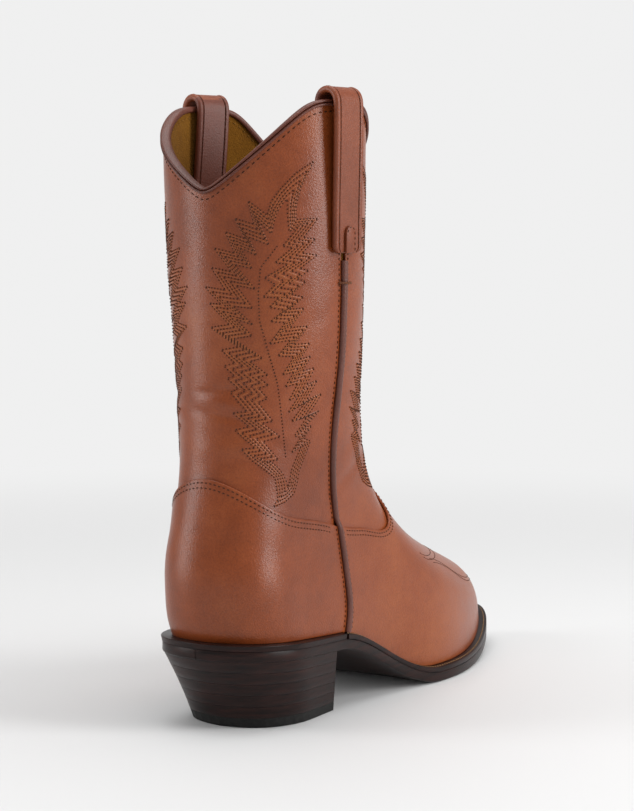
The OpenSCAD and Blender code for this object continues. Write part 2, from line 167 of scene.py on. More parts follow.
def welt_height(x):
    """Height of the welt's top along the foot: seat, waist, ball and toe spring."""
    x = np.asarray(x, float)
    seat = SEAT_H - SEAT_DROP * (x - HEEL_X) / (BREAST_X - HEEL_X)
    waist = blend(SEAT_H - SEAT_DROP, BALL_H, smooth((x - BREAST_X) / (BALL_FROM - BREAST_X)))
    toe = BALL_H + TOE_SPRING * (np.maximum(x - BALL_TO, 0) / (TOE_X - BALL_TO)) ** 2
    return np.where(x < BREAST_X, seat, np.where(x < BALL_FROM, waist, toe))


def plan_at(u):
    f = (np.asarray(u, float) % 1) * len(PLAN)
    i = np.floor(f).astype(int)
    t = (f - i)[..., None]
    a, b, c, d = (PLAN[(i + k) % len(PLAN)] for k in (-1, 0, 1, 2))
    return 0.5 * (2 * b + (c - a) * t + (2 * a - 5 * b + 4 * c - d) * t * t
                  + (3 * b - a - 3 * c + d) * t ** 3)


def eased_plan(u, reach):
    u = np.asarray(u, float)
    return (plan_at(u - reach) + 2 * plan_at(u) + plan_at(u + reach)) / 4


def plan_out(u, out):
    """The welt line moved outwards by a distance."""
    u = np.asarray(u, float)
    g = unit(eased_plan(u + 0.004, EASE) - eased_plan(u - 0.004, EASE))
    return eased_plan(u, EASE) + np.asarray(out, float)[..., None] * np.stack([g[..., 1], -g[..., 0]], -1)


def scallop(u):
    d = np.abs(2 * u - np.round(2 * u)) / 2
    a = (np.sqrt(d * d + 0.00022) - 0.015) / 0.176
    return a - np.sqrt((a - 1) ** 2 + 0.02)


def shaft_turn(k, u):
    """Turn of the shaft on the foot at a guide level. The side seams and the collar's peaks follow it."""
    s = np.sin(2 * np.pi * u)
    rise = smooth((k - 5) / 4)
    near = 0.014 * math.sin(math.pi * min(k, 5.3) / 5.3) - 0.028 * rise
    return np.where(s > 0, near, -0.05 * rise) * s * s


def level_at(k, place):
    back_x, back_z, front_x, front_z, inner, outer, foot, wave = LEVELS[k]
    u = place + shaft_turn(k, place)
    p = eased_plan(u, EASE * (1 + min(k, 3) / 2))
    y_foot = np.where(p[..., 1] < 0, p[..., 1] / INNER * inner, p[..., 1] / OUTER * outer)
    y_oval = -np.sin(2 * np.pi * u) * np.where(u % 1 < 0.5, inner, outer)
    s = blend((1 - np.cos(2 * np.pi * u)) / 2, (p[..., 0] - HEEL_X) / FOOT_LEN, foot)
    x = blend(back_x, front_x, s)
    sag = welt_height(HEEL_X + FOOT_LEN * s) - blend(SEAT_H, BALL_H + TOE_SPRING, s)
    z = blend(back_z, front_z, s) + sag * foot * max(0, 1 - k / 5) + wave * COLLAR_DIP / 2 * scallop(place)
    return np.stack([x, blend(y_oval, y_foot, foot), welt_height(x) if k == 0 else z], -1)


def skin(u, v):
    """Points of the last's skin."""
    u, v = np.broadcast_arrays(np.asarray(u, float), np.asarray(v, float))
    shape, u, v = u.shape, u.ravel(), np.clip(v.ravel(), 0, 1)
    hoop = [level_at(k, u) for k in range(TOP + 1)]
    hoop = np.stack([2 * hoop[0] - hoop[1]] + hoop + [2 * hoop[-1] - hoop[-2]])
    i = np.minimum(np.floor(v * TOP), TOP - 1).astype(int)
    t = (v * TOP - i)[:, None]
    r = np.arange(len(u))
    p = ((1 - t) ** 3 * hoop[i, r] + (3 * t ** 3 - 6 * t * t + 4) * hoop[i + 1, r]
         + (1 + 3 * t + 3 * t * t - 3 * t ** 3) * hoop[i + 2, r] + t ** 3 * hoop[i + 3, r]) / 6
    return p.reshape(shape + (3,))


def along(u, v):
    return unit(skin(u + 0.002, v) - skin(u - 0.002, v))


def outward(u, v):
    rising = skin(u, np.minimum(1, v + 0.01)) - skin(u, np.maximum(0, v - 0.01))
    return unit(np.cross(along(u, v), rising))


def lifted(u, v, h):
    """Points a distance off the skin. The lowest row stays level, where leather stands on the welt."""
    u, v = np.broadcast_arrays(np.asarray(u, float), np.asarray(v, float))
    n = outward(u, v)
    level = n * np.array([1, 1, 0])
    n = unit(blend(level, n, smooth(v / 0.03)[..., None]))
    return skin(u, v) + np.asarray(h, float)[..., None] * n


SEAMS = ((0.25, "inner"), (0.75, "outer"))
seam_v = np.linspace(0, 1, 121)
SPEED = {s: np.linalg.norm(skin(s + 0.002, seam_v) - skin(s - 0.002, seam_v), axis=-1) / 0.004
         for s, _ in SEAMS}


def u_for(seam, v, mm):
    """Place round the boot that lies a few millimetres from a side seam."""
    return seam + mm / np.interp(v, seam_v, SPEED[round(seam % 1, 2)])


def v_for(u, z):
    """Place up the boot whose skin has a given height."""
    low, high = np.zeros(np.shape(z)), np.ones(np.shape(z))
    for _ in range(22):
        mid = (low + high) / 2
        under = skin(u, mid)[..., 2] < z
        low, high = np.where(under, mid, low), np.where(under, high, mid)
    return (low + high) / 2


# ---- Leathers ----
# Full-grain calf in cognac, with a fine grain, a hand-rubbed finish that is darker in places, and a soft
# shine. The ridges between the feather rows are a paler copy of it, a painted highlight where the raised
# leather catches the light. It is cooler and darker on straps, piping and binding, and a darker copy on
# the strap's inside leg is painted shade.
def knot(nodes, kind, **values):
    node = nodes.new("ShaderNode" + kind)
    for key, value in values.items():
        if hasattr(node, key):
            setattr(node, key, value)
        else:
            node.inputs[key].default_value = value
    return node


def ramp(nodes, stops):
    node = nodes.new("ShaderNodeValToRGB")
    while len(node.color_ramp.elements) < len(stops):
        node.color_ramp.elements.new(0.5)
    for e, (place, colour) in zip(node.color_ramp.elements, stops):
        e.position = place
        e.color = (*colour, 1)
    return node


def leather(name, deep, mid, pale, rough, grain=1.0, cells=1400, sheen=0.0):
    m = bpy.data.materials.new(name)
    m.use_nodes = True
    nodes, links = m.node_tree.nodes, m.node_tree.links
    hide = nodes["Principled BSDF"]
    where = nodes.new("ShaderNodeTexCoord").outputs["Object"]
    cloud = knot(nodes, "TexNoise", Scale=11.0, Detail=3.0, Roughness=0.5)
    mottle = knot(nodes, "TexNoise", Scale=95.0, Detail=5.0, Roughness=0.65)
    fine = knot(nodes, "TexNoise", Scale=cells * 0.8, Detail=3.0, Roughness=0.6)
    pebble = knot(nodes, "TexVoronoi", Scale=float(cells), feature="SMOOTH_F1")
    for n in (cloud, mottle, fine, pebble):
        links.new(where, n.inputs["Vector"])
    tone = knot(nodes, "Math", operation="MULTIPLY_ADD")
    tone.inputs[1].default_value = 0.3
    links.new(mottle.outputs["Fac"], tone.inputs[0])
    half = knot(nodes, "Math", operation="MULTIPLY_ADD")
    half.inputs[1].default_value = 0.62
    half.inputs[2].default_value = 0.04
    links.new(cloud.outputs["Fac"], half.inputs[0])
    links.new(half.outputs[0], tone.inputs[2])
    colour = ramp(nodes, [(0.3, deep), (0.5, mid), (0.72, pale)])
    links.new(tone.outputs[0], colour.inputs["Fac"])
    speck = knot(nodes, "Mix", data_type="RGBA", blend_type="MULTIPLY")
    dark = ramp(nodes, [(0.3, (0.66, 0.62, 0.58)), (0.58, (1, 1, 1))])
    links.new(fine.outputs["Fac"], dark.inputs["Fac"])
    speck.inputs[0].default_value = 0.6
    links.new(colour.outputs["Color"], speck.inputs[6])
    links.new(dark.outputs["Color"], speck.inputs[7])
    links.new(speck.outputs[2], hide.inputs["Base Color"])
    shine = knot(nodes, "MapRange")
    shine.inputs["To Min"].default_value = rough - 0.07
    shine.inputs["To Max"].default_value = rough + 0.09
    links.new(mottle.outputs["Fac"], shine.inputs["Value"])
    links.new(shine.outputs[0], hide.inputs["Roughness"])
    sag = knot(nodes, "Bump", Strength=0.2 * grain, Distance=0.0003)
    links.new(mottle.outputs["Fac"], sag.inputs["Height"])
    pit = knot(nodes, "Bump", Strength=0.5 * grain, Distance=0.00018)
    links.new(pebble.outputs["Distance"], pit.inputs["Height"])
    links.new(sag.outputs["Normal"], pit.inputs["Normal"])
    pore = knot(nodes, "Bump", Strength=0.5 * grain, Distance=0.00016)
    links.new(fine.outputs["Fac"], pore.inputs["Height"])
    links.new(pit.outputs["Normal"], pore.inputs["Normal"])
    links.new(pore.outputs["Normal"], hide.inputs["Normal"])
    hide.inputs["Specular IOR Level"].default_value = 0.38
    if sheen:
        hide.inputs["Sheen Weight"].default_value = sheen
        hide.inputs["Sheen Roughness"].default_value = 0.5
    return m


calf = leather("cognac calf", (0.15, 0.029, 0.006), (0.235, 0.05, 0.011), (0.32, 0.084, 0.022), 0.31)
# A paler copy of the calf for the ridges between the feather rows: a painted highlight on the raised
# leather.
raised = leather("ridge calf with painted highlight", (0.175, 0.038, 0.008), (0.285, 0.071, 0.016), (0.38, 0.115, 0.032), 0.36)
strap_leather = leather("strap calf", (0.145, 0.032, 0.01), (0.215, 0.051, 0.018),
                        (0.29, 0.08, 0.032), 0.4)
# A darker copy of the strap calf for the strap's leg inside the shaft: painted shade.
shaded_inner_strap = leather("strap calf with painted shade", (0.085, 0.019, 0.009), (0.135, 0.032, 0.016),
                      (0.18, 0.047, 0.026), 0.44)
trim = leather("brown calf", (0.065, 0.018, 0.01), (0.115, 0.032, 0.019), (0.17, 0.052, 0.032), 0.38)
suede = leather("olive suede", (0.1, 0.037, 0.003), (0.19, 0.077, 0.007), (0.29, 0.13, 0.017), 0.95,
                grain=2.5, cells=1500, sheen=0.04)
suede.node_tree.nodes["Principled BSDF"].inputs["Specular IOR Level"].default_value = 0.12


def plain(name, dark, light, scale, rough, metal=0.0, relief=0.3, stretch=(1, 1, 1)):
    """A flecked material for thread, board, cork and metal. Stretch packs its flecks along an axis."""
    m = bpy.data.materials.new(name)
    m.use_nodes = True
    nodes, links = m.node_tree.nodes, m.node_tree.links
    face = nodes["Principled BSDF"]
    where = nodes.new("ShaderNodeTexCoord").outputs["Object"]
    drawn = knot(nodes, "Mapping")
    drawn.inputs["Scale"].default_value = stretch
    links.new(where, drawn.inputs["Vector"])
    fleck = knot(nodes, "TexNoise", Scale=float(scale), Detail=6.0, Roughness=0.65)
    links.new(drawn.outputs["Vector"], fleck.inputs["Vector"])
    colour = ramp(nodes, [(0.35, dark), (0.68, light)])
    links.new(fleck.outputs["Fac"], colour.inputs["Fac"])
    links.new(colour.outputs["Color"], face.inputs["Base Color"])
    rub = knot(nodes, "MapRange")
    rub.inputs["To Min"].default_value = rough - 0.08
    rub.inputs["To Max"].default_value = rough + 0.1
    links.new(fleck.outputs["Fac"], rub.inputs["Value"])
    links.new(rub.outputs[0], face.inputs["Roughness"])
    bump = knot(nodes, "Bump", Strength=relief, Distance=0.0002)
    links.new(fleck.outputs["Fac"], bump.inputs["Height"])
    links.new(bump.outputs["Normal"], face.inputs["Normal"])
    face.inputs["Metallic"].default_value = metal
    face.inputs["Specular IOR Level"].default_value = 0.18
    return m


thread = plain("waxed thread", (0.035, 0.01, 0.004), (0.085, 0.026, 0.01), 2500, 0.6)
olive_thread = plain("olive thread", (0.12, 0.05, 0.006), (0.26, 0.12, 0.02), 2500, 0.7)
welt_thread = plain("tan thread", (0.2, 0.11, 0.05), (0.42, 0.26, 0.13), 2500, 0.7)
tack_thread = plain("brown thread", (0.09, 0.03, 0.013), (0.2, 0.075, 0.035), 2500, 0.6)
board = plain("fibre board", (0.36, 0.24, 0.12), (0.5, 0.36, 0.2), 700, 0.85)
cork = plain("ground cork", (0.16, 0.08, 0.035), (0.42, 0.26, 0.12), 380, 0.9)
steel = plain("plain steel", (0.42, 0.42, 0.43), (0.55, 0.55, 0.56), 900, 0.38, metal=1.0)
brass = plain("brass nails", (0.4, 0.27, 0.1), (0.62, 0.45, 0.18), 1200, 0.35, metal=1.0)
sole_edge = plain("black sole leather", (0.006, 0.0032, 0.003), (0.026, 0.0085, 0.0065), 60, 0.34,
                  relief=0.5, stretch=(1, 1, 9))
rubber = plain("black rubber", (0.008, 0.008, 0.008), (0.02, 0.019, 0.018), 500, 0.55)

# ---- Inside pieces ----
# The insole board, the steel shank and the cork that fills the hollow above the outsole, with the stiff
# cup round the heel and the cap in the toe. All are glued in before the outsole goes on, so little shows.


def finish_node(material, *names):
    for name in names:
        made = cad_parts[name].data.materials
        made.clear()
        made.append(material)


finish_node(board, "insole_board", "counter_stiffener", "toe_puff")
finish_node(cork, "cork_filler")
finish_node(steel, "shank")
finish_node(brass, "heel_nails")
finish_node(suede, "heel_pad")

# ---- Lining ----
# Thin suede, flesh side out, sewn to the shaft at the collar and closed at the side seams. The vamp's
# lining meets it at the instep.
LEATHER_T, LINING_T, GAP = 1.5, 1.0, 0.25
LINING = -LEATHER_T - GAP


def pick(piece):
    bpy.ops.object.select_all(action="DESELECT")
    piece.select_set(True)
    bpy.context.view_layer.objects.active = piece


def apply(piece, kind, **settings):
    pick(piece)
    modifier = piece.modifiers.new(kind.title(), kind)
    for key, value in settings.items():
        setattr(modifier, key, value)
    bpy.ops.object.modifier_apply(modifier=modifier.name)


def soften(piece, width, segments=2, degrees=50):
    apply(piece, "BEVEL", width=width * 0.001, segments=segments, limit_method="ANGLE",
          angle_limit=math.radians(degrees))


def settle(piece, material, slot, *nodes, degrees=45):
    """Smooths a finished piece, gives it its material, and lets it ride with the boot."""
    pick(piece)
    bpy.ops.object.shade_smooth_by_angle(angle=math.radians(degrees))
    if not piece.data.materials:
        piece.data.materials.append(material)
    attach(piece, "root")
    if nodes:
        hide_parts(*nodes)


def panel(name, side_a, side_b, across, up, low, high, margin, height, thick, round_off=0):
    """A cut piece between two side seams: a grid laid on the last, with its thickness inwards."""
    bpy.ops.object.select_all(action="DESELECT")
    bpy.ops.mesh.primitive_grid_add(x_subdivisions=across, y_subdivisions=up, size=2, location=(0, 0, 0))
    piece = bpy.context.object
    piece.name = name
    co = np.empty(len(piece.data.vertices) * 3)
    piece.data.vertices.foreach_get("co", co)
    s, t = ((co.reshape(-1, 3)[:, :2] + 1) / 2).T
    u = blend(side_a, side_b, s)
    v = blend(low(u), high(u), t)
    u = blend(u_for(side_a, v, margin), u_for(side_b, v, -margin), s)
    laid = lifted(u, v, height(u, v)) * 0.001
    piece.data.vertices.foreach_set("co", laid.ravel())
    piece.data.update()
    apply(piece, "SOLIDIFY", thickness=thick * 0.001, offset=-1)
    if round_off:
        soften(piece, round_off)
    return piece


def level(value):
    return lambda u, v=0: np.full(np.shape(u), float(value))


for name, node, side_a, across, up, low, high in (
        ("lining_of_back", "lining_back", -0.25, 80, 80, 0.01, 1),
        ("lining_of_front", "lining_front", 0.25, 80, 50, 0.41, 1),
        ("lining_of_vamp", "vamp_lining", 0.25, 90, 30, 0.01, 0.4)):
    lining = panel(name, side_a, side_a + 0.5, across, up, level(low), level(high), 0.3,
                   level(LINING), LINING_T)
    settle(lining, suede, "suede_lining", node)

# ---- Shaft ----
# A front and a back panel of calf, cut to the scalloped collar and sewn to each other at the sides. The
# leather has relaxed with handling, so it has soft folds low on the back and is a little uneven all over.
SEAM_HALF = 1.8
BURY = 0.03
GIRTH = 330.0


def from_back(u):
    return np.abs(u - np.round(u))


def counter_top(u):
    return 0.37 + 0.062 * (1 - smooth(from_back(u) / 0.17))


def vamp_top(u):
    return (0.376 + 0.022 * smooth((from_back(u) - 0.25) / 0.06)
            + 0.15 * smooth((from_back(u) - 0.325) / 0.175))


# Each fold: place round the boot, height, half-length, half-width, slope, depth.
FOLDS = [(6, 171, 17, 2.2, 0.10, -0.9), (9, 165, 20, 3.0, -0.16, 0.6), (4, 159, 15, 2.3, -0.1, -0.8),
         (30, 150, 16, 3.4, -0.5, -0.45), (-40, 168, 18, 3.0, 0.2, -0.7), (-30, 158, 14, 3.0, -0.1, 0.4),
         (12, 143, 24, 4.5, 0.12, 0.5), (105, 128, 22, 3.5, 0.5, -0.5), (-105, 128, 22, 3.5, 0.5, -0.5),
         (112, 140, 20, 4.0, 0.4, 0.3), (60, 205, 24, 5, 0.3, -0.2), (-60, 215, 24, 5, -0.3, -0.2)]


def slack(u, v):
    """How far the relaxed leather stands off the last."""
    z = skin(u, v)[..., 2]
    a = (u - np.round(u)) * GIRTH
    off = (0.14 * np.sin(a / 19 + z / 23) * np.sin(z / 17 - a / 31) + 0.06 * np.sin(a / 7.3 + z / 12)
           + 0.05 * np.sin(a / 5.1 - z / 6.7))
    for place, height, reach, wide, slope, depth in FOLDS:
        rise = (z - height - slope * (a - place)) / wide
        off = off + depth * np.exp(-((a - place) / reach) ** 2 - rise ** 2)
    return off * smooth(v / 0.08) * smooth((1 - v) / 0.06)


back = panel("shaft_back_panel", -0.25, 0.25, 130, 150, lambda u: counter_top(u) - BURY, level(1),
             SEAM_HALF, slack, LEATHER_T, 0.3)
front = panel("shaft_front_panel", 0.25, 0.75, 130, 150, lambda u: vamp_top(u) - BURY, level(1),
              SEAM_HALF, slack, LEATHER_T, 0.3)

# ---- Counter and vamp ----
# The counter wraps the heel and the vamp covers the foot, both over the shaft's lower edge. The vamp is
# pulled tight on the last, and the counter keeps the shallow hollows of its stiffener.
OVER = GAP + LEATHER_T


def hollows(u, v):
    a, z = (u - np.round(u)) * GIRTH, skin(u, v)[..., 2]
    waves = np.sin(a / 12 + z / 10 + 0.6) * np.sin(z / 13 - a / 19 + 0.9)
    return 0.55 * waves * smooth((0.25 - from_back(u)) / 0.08) * smooth(v / 0.1) * smooth((0.4 - v) / 0.1)


def over(u, v):
    return OVER + 0.5 * slack(u, v) * smooth((v - 0.25) / 0.1) + hollows(u, v)


counter = panel("counter_leather", -0.25, 0.25, 130, 70, level(0), counter_top, SEAM_HALF, over,
                LEATHER_T, 0.45)
vamp = panel("vamp_leather", 0.25, 0.75, 170, 90, level(0), vamp_top, SEAM_HALF, over, LEATHER_T, 0.45)
settle(counter, calf, "upper_leather", "heel_counter")
settle(vamp, calf, "upper_leather", "vamp")

# ---- Needlework ----
# Waxed brown thread. A stitch is a short rounded bar that dips into its needle holes, made once from a
# ball of few faces and copied along each row.
bpy.ops.object.select_all(action="DESELECT")
bpy.ops.mesh.primitive_uv_sphere_add(segments=6, ring_count=4, radius=1, rotation=(0, math.pi / 2, 0))
ball = bpy.context.object
bpy.ops.object.transform_apply(rotation=True)
STITCH = np.array([v.co[:] for v in ball.data.vertices])
STITCH_FACES = [tuple(f.vertices) for f in ball.data.polygons]
bpy.ops.object.delete()


def mesh_piece(name, points, faces):
    mesh = bpy.data.meshes.new(name)
    mesh.from_pydata((np.asarray(points) * 0.001).tolist(), [], faces)
    mesh.update()
    piece = bpy.data.objects.new(name, mesh)
    bpy.context.collection.objects.link(piece)
    return piece


def sew_curves(name, curves, pitch, length, wide, material, slot="thread", rise=0.0):
    """Stitches along curves. Each curve is its points and the way out from the leather at each point."""
    spots, dirs, ups = [], [], []
    for p, up in curves:
        s = np.concatenate([[0], np.cumsum(np.linalg.norm(np.diff(p, axis=0), axis=1))])
        count = max(1, int(round(s[-1] / pitch)))
        mid = (np.arange(count) + 0.5) * s[-1] / count
        a, b = (np.stack([np.interp(mid + k, s, p[:, j]) for j in range(3)], -1)
                for k in (-length / 2, length / 2))
        spots.append((a + b) / 2)
        dirs.append(unit(b - a))
        ups.append(np.stack([np.interp(mid, s, up[:, j]) for j in range(3)], -1))
    spots, dirs, ups = (np.concatenate(x)[:, None] for x in (spots, dirs, ups))
    sides = unit(np.cross(ups, dirs))
    ups = np.cross(dirs, sides)
    bar = STITCH * np.array([length / 2, wide / 2, wide / 2])
    co = spots + rise * ups + bar[:, :1] * dirs + bar[:, 1:2] * sides + bar[:, 2:] * ups
    first = np.arange(len(spots)) * len(STITCH)
    faces = [tuple(k + i for i in face) for k in first.tolist() for face in STITCH_FACES]
    settle(mesh_piece(name, co.reshape(-1, 3), faces), material, slot, degrees=180)


def sew(name, rows, *size, **kind):
    """Stitches along rows on the last. Each row is u, v and height off the skin at points along it."""
    u, v, h = (np.concatenate([np.broadcast_to(row[k], np.shape(row[0])) for row in rows])
               for k in range(3))
    p, up = lifted(u, v, h), outward(u, v)
    cuts = np.cumsum([len(row[0]) for row in rows])[:-1]
    sew_curves(name, list(zip(np.split(p, cuts), np.split(up, cuts))), *size, **kind)


def below(u, v, mm):
    """Place up the boot some millimetres below another."""
    rate = np.linalg.norm(skin(u, v) - skin(u, v - 0.02), axis=-1) / 0.02
    return v - mm / rate


def edge_row(u_from, u_to, top, mm, height, count=160):
    u = np.linspace(u_from, u_to, count)
    v = below(u, top(u), mm)
    return u, v, height(u, v)


def seam_row(seam, mm, v_from, v_to, height):
    v = np.linspace(v_from, v_to, 120)
    u = u_for(seam, v, mm)
    return u, v, height(u, v)


seam_rows = [seam_row(s, side * 3.9, 0.02, 0.365, over) for s in (0.25, -0.25) for side in (-1, 1)]
seam_rows += [seam_row(s, side * 3.7, 0.385, 0.975, slack) for s in (0.25, -0.25) for side in (-1, 1)]
sew("side_stitching", seam_rows, 2.6, 1.5, 0.65, thread, rise=0.08)
collar_rows = [edge_row(s + 0.008, s + 0.492, level(1), 4.7, slack, 300) for s in (-0.25, 0.25)]
sew("collar_stitching", collar_rows, 3.3, 2.1, 0.7, thread)
collar_rows = [edge_row(s + 0.008, s + 0.492, level(1), 4.7, level(LINING - LINING_T), 300)
               for s in (-0.25, 0.25)]
sew("collar_stitching_inside", collar_rows, 3.3, 2.1, 0.7, olive_thread)
edge_rows = [edge_row(-0.232, 0.232, counter_top, mm, over) for mm in (2.0, 4.6)]
edge_rows += [edge_row(0.262, 0.738, vamp_top, mm, over, 240) for mm in (2.0, 4.6)]
sew("edge_stitching", edge_rows, 2.5, 1.5, 0.65, thread, rise=0.08)


def curve_row(points, height):
    """A smooth row through a few places given as shares round and up the boot."""
    points = np.array(points, float)
    t = np.linspace(0, len(points) - 1, 60)
    fit = np.polynomial.Polynomial.fit
    u, v = (fit(np.arange(len(points)), points[:, k], min(3, len(points) - 1))(t) for k in (0, 1))
    return u, v, height(u, v)


toe_rows = []
for gap_v in (0, 0.014):
    for turn in (1, -1):
        arch = [(0.41, 0.312 - gap_v), (0.435, 0.27 - gap_v), (0.448, 0.21 - gap_v), (0.5, 0.15 - gap_v)]
        toe_rows.append(curve_row([(0.5 + turn * (0.5 - a), b) for a, b in arch], over))
        arch = [(0.397, 0.336 - gap_v), (0.428, 0.318 - gap_v), (0.5, 0.33 - gap_v)]
        toe_rows.append(curve_row([(0.5 + turn * (0.5 - a), b) for a, b in arch], over))
sew("toe_stitching", toe_rows, 2.5, 1.6, 0.55, thread)

# ---- Feather stitching ----
# A curled feather is sewn on each half of the front and back panels: five rows that run in and out round
# every barb, and one row up the quill. The rows draw the leather down, so it stands up between them.
ROWS = 5
QUILL = [(48, 137), (44, 158.5), (40.5, 174.5), (34.5, 190.5), (29.5, 206), (29, 219.5), (30.5, 232),
         (40.5, 243)]
# Each barb: its tip, then the notch above it (left) or below it (right), in the outer and the inner row.
LEFT_BARBS = [
    (20.5, 142.5, 28.5, 143, 43, 136.5), (16.5, 152, 25, 153.5, 44, 148), (15, 160.5, 23.5, 161, 39, 156),
    (13.5, 170.5, 18, 172.5, 35, 167.5), (11.5, 177.5, 16, 178.5, 35.5, 174),
    (9.5, 183.5, 16, 185, 35, 179), (8, 191.5, 18, 193, 31.5, 187.5), (2, 202.5, 13, 204, 25.5, 198.5),
    (1.5, 214.5, 8.5, 214, 26, 204), (-1, 222.5, 11, 221, 26, 212), (3, 232, 14.5, 230, 27.5, 221.5),
    (5, 241.5, 16.5, 239, 26, 231.5), (11.5, 249.5, 22.5, 246, 28.5, 238),
    (17, 256, 27.5, 253, 35.5, 243), (24.5, 264.5, 35, 257.5, 37, 248.5)]
RIGHT_BARBS = [
    (64.5, 256, 55, 246.5, 43, 242.5), (62.5, 246, 54, 239, 38.5, 234.5),
    (63.5, 238, 52.5, 231.5, 32.5, 227), (58, 230.5, 50.5, 226.5, 31.5, 217.5),
    (56, 225, 47, 219, 35, 212.5), (54.5, 217.5, 46, 211.5, 35.5, 205.5),
    (55, 212, 46.5, 202.5, 35, 194.5), (57.5, 203, 49, 194, 40, 188.5), (59, 194.5, 53, 186.5, 43, 179),
    (60, 188, 55, 180.5, 45, 173), (63, 182, 58.5, 173.5, 48, 166), (65.5, 175.5, 59.5, 166, 48, 160),
    (69.5, 168.5, 61, 157.5, 50.5, 155.5), (69, 160, 59.5, 152, 53, 148),
    (64.5, 152.5, 59.5, 146.5, 51.5, 139.5), (64.5, 144.5, 57, 129, 52.5, 132)]
# The plume at the top and the stem at the bottom: a point of the outer row, and its partner inside.
PLUME = [(37.5, 264.5, 38.5, 254), (43.5, 271, 40.5, 259), (52, 278, 43, 262.5), (63, 284, 46.5, 265.5),
         (55, 272, 46.5, 261.5), (51.5, 262.5, 46.5, 255.5), (51, 255.5, 47, 249.5)]
STEM_LEFT = [(43, 117, 49, 124.5), (41, 127.5, 47, 128), (33.5, 132.5, 43, 132.5),
             (26.5, 137, 38.5, 135.5)]
STEM_RIGHT = [(56.5, 125, 51.5, 128.5), (54, 118.5, 51, 125), (48, 115, 50, 122.5)]
STEM_END = [(40, 113, 49.5, 122)]


def zigzag(barbs):
    """Outer and inner rows along one side. An inner tip stands off its outer one as its notches do."""
    tips, outer, inner = (np.array(barbs)[:, k:k + 2] for k in (0, 2, 4))
    shift = inner - outer
    tip_shift = np.concatenate([shift[:1], (shift[1:] + shift[:-1]) / 2])
    rows = np.concatenate([tips, tips + tip_shift, outer, inner], 1)
    return rows.reshape(-1, 4)


def feather_rows():
    both = np.concatenate([STEM_END, STEM_LEFT, zigzag(LEFT_BARBS), PLUME, zigzag(RIGHT_BARBS),
                           STEM_RIGHT, STEM_END])
    return [blend(both[:, :2], both[:, 2:], r / (ROWS - 1)) for r in range(ROWS)]


def on_panel(legs, turn):
    """Straight legs of the pattern laid on a panel. Gives u, v, slack, and where each leg starts."""
    a, z = np.concatenate(legs).T
    u = turn(a / GIRTH)
    v = v_for(u, z)
    return u, v, slack(u, v), np.cumsum([0] + [len(leg) for leg in legs])


def leg_points(a, b, spacing):
    return np.linspace(a, b, max(3, int(np.hypot(*(b - a)) / spacing) + 1))


def pucker(name, legs, turn, wide, high):
    """Rounded ridges of raised leather, with their long edges sunk into the panel."""
    u, v, off, starts = on_panel(legs, turn)
    p, up = lifted(u, v, off), outward(u, v)
    across = np.array([-0.5, -0.28, 0, 0.28, 0.5]) * wide
    rise = np.array([-0.12, 0.62 * high, high, 0.62 * high, -0.12])
    points, faces = [], []
    for start, end in zip(starts[:-1], starts[1:]):
        side = unit(np.cross(up[start:end], np.gradient(p[start:end], axis=0)))
        n = end - start
        sink = np.where((np.arange(n) == 0) | (np.arange(n) == n - 1), 0.2, 1.0)[:, None, None]
        points.append((p[start:end, None] + side[:, None] * across[:, None]
                       + up[start:end, None] * rise[:, None] * sink).reshape(-1, 3))
        corner = (start + np.arange(n - 1))[:, None] * 5 + np.arange(4)
        faces.append(np.stack([corner, corner + 5, corner + 6, corner + 1], -1).reshape(-1, 4))
    return mesh_piece(name, np.concatenate(points), np.concatenate(faces).tolist())


rows = feather_rows()
quill = [leg_points(np.array(a), np.array(b), 2.0) for a, b in zip(QUILL[:-1], QUILL[1:])]
row_legs = [leg_points(a, b, 2.0) for row in rows for a, b in zip(row[:-1], row[1:])]
row_legs += quill
ridge_legs = [leg_points(a, b, 1.6) for upper, lower in zip(rows[:-1], rows[1:])
              for a, b in zip((upper[:-1] + lower[:-1]) / 2, (upper[1:] + lower[1:]) / 2)]
FEATHERS = [("back_inner", back, lambda u: u), ("back_outer", back, lambda u: -0.043 - 0.9 * u),
            ("front_inner", front, lambda u: 0.5 - u), ("front_outer", front, lambda u: 0.5 + u)]
for host in (back, front):
    host.data.materials.append(calf)
for half, host, turn in FEATHERS:
    u, v, off, starts = on_panel(row_legs, turn)
    legs = [(u[i:j], v[i:j], off[i:j]) for i, j in zip(starts[:-1], starts[1:])]
    sew("feather_" + half, legs, 1.75, 0.85, 0.75, thread, rise=0.1)
    ridges = pucker("ridges_" + half, ridge_legs, turn, 1.25, 0.2)
    # The ridges take the paler calf: a painted highlight where the raised leather catches the light.
    ridges.data.materials.append(raised)
    pick(host)
    ridges.select_set(True)
    bpy.ops.object.join()
settle(back, calf, "upper_leather", "shaft_back", degrees=50)
settle(front, calf, "upper_leather", "shaft_front", degrees=50)

# ---- Piping ----
# A thin cord wrapped in brown calf and caught in each side seam, from the strap's foot down to the welt.
STRAP_LEG = 75
PIPE_R, PIPE_LIFT = 1.5, 0.5
PEAK = COLLAR_Z + COLLAR_DIP / 2


def loft(name, rings, closed=False):
    """A closed solid through rings of equal count. Its ends are capped unless it closes on itself."""
    n, m = rings.shape[:2]
    faces = [(i * m + j, i * m + (j + 1) % m, (i + 1) % n * m + (j + 1) % m, (i + 1) % n * m + j)
             for i in range(n if closed else n - 1) for j in range(m)]
    if not closed:
        faces += [tuple(range(m)), tuple(range((n - 1) * m, n * m))]
    piece = mesh_piece(name, rings.reshape(-1, 3), faces)
    pick(piece)
    bpy.ops.object.mode_set(mode="EDIT")
    bpy.ops.mesh.select_all(action="SELECT")
    bpy.ops.mesh.normals_make_consistent(inside=False)
    bpy.ops.object.mode_set(mode="OBJECT")
    return piece


